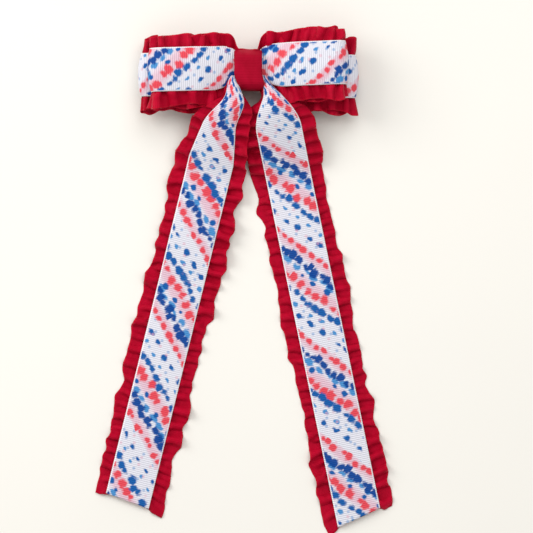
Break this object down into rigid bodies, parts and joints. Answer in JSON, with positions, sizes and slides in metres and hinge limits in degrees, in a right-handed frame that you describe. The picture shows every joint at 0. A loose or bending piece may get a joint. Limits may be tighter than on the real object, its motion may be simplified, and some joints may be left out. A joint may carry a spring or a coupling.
{
  "type": "hair bow",
  "caption": "Ruffled hair bow with stacked loops, long splayed tails, printed ribbon down its centre, a wrapped knot and a sprung clip behind it.",
  "frame": {"origin": "on the flat back face of the clip's jaw, straight below the middle of the knot, with the clip closed", "axes": "+X to the bow's right as seen from its face, +Y towards the loops' top edge with the tails running towards -Y, +Z out of the bow's face; the surface it lies on is at Z = -2.6 mm"},
  "size_m": [0.1455, 0.247, 0.0244],
  "materials": {
    "ruffle_red": "soft satin ribbon, gathered",
    "printed_ribbon": "white grosgrain with coral and blue tie-dye dabs",
    "wrap_red": "matt grosgrain",
    "thread_red": "twisted polyester thread",
    "hot_glue": "cloudy hot-melt glue",
    "plated_steel": "bright nickel plate",
    "spring_steel": "drawn wire"
  },
  "bodies": {
    "bow": {"loop_ruffle_back": "ruffle_red", "loop_print_back": "printed_ribbon", "loop_ruffle_front": "ruffle_red", "loop_print_front": "printed_ribbon", "centre_wrap": "wrap_red", "waist_thread": "thread_red", "glue_pad": "hot_glue", "clip_arm": "plated_steel", "clip_pin": "plated_steel", "clip_spring": "spring_steel"},
    "jaw": {"clip_jaw": "plated_steel"},
    "left_tail": {"tail_ruffle_left": "ruffle_red", "tail_print_left": "printed_ribbon"},
    "right_tail": {"tail_ruffle_right": "ruffle_red", "tail_print_right": "printed_ribbon"}
  },
  "joints": [
    {"name": "clip_jaw_hinge", "type": "hinge", "parent": "bow", "child": "jaw", "pos_m": [0.0095, 0, 0.0021], "axis": [0, -1, 0], "range_deg": [0, 30], "stiffness_Nm_per_rad": 0.21, "springref_deg": -29.79},
    {"name": "left_tail_swing", "type": "hinge", "parent": "bow", "child": "left_tail", "pos_m": [-0.0067, -0.003, 0.0154], "axis": [0, 0, 1], "range_deg": [-8, 6]},
    {"name": "right_tail_swing", "type": "hinge", "parent": "bow", "child": "right_tail", "pos_m": [0.0075, -0.003, 0.0154], "axis": [0, 0, 1], "range_deg": [-6, 8]}
  ]
}
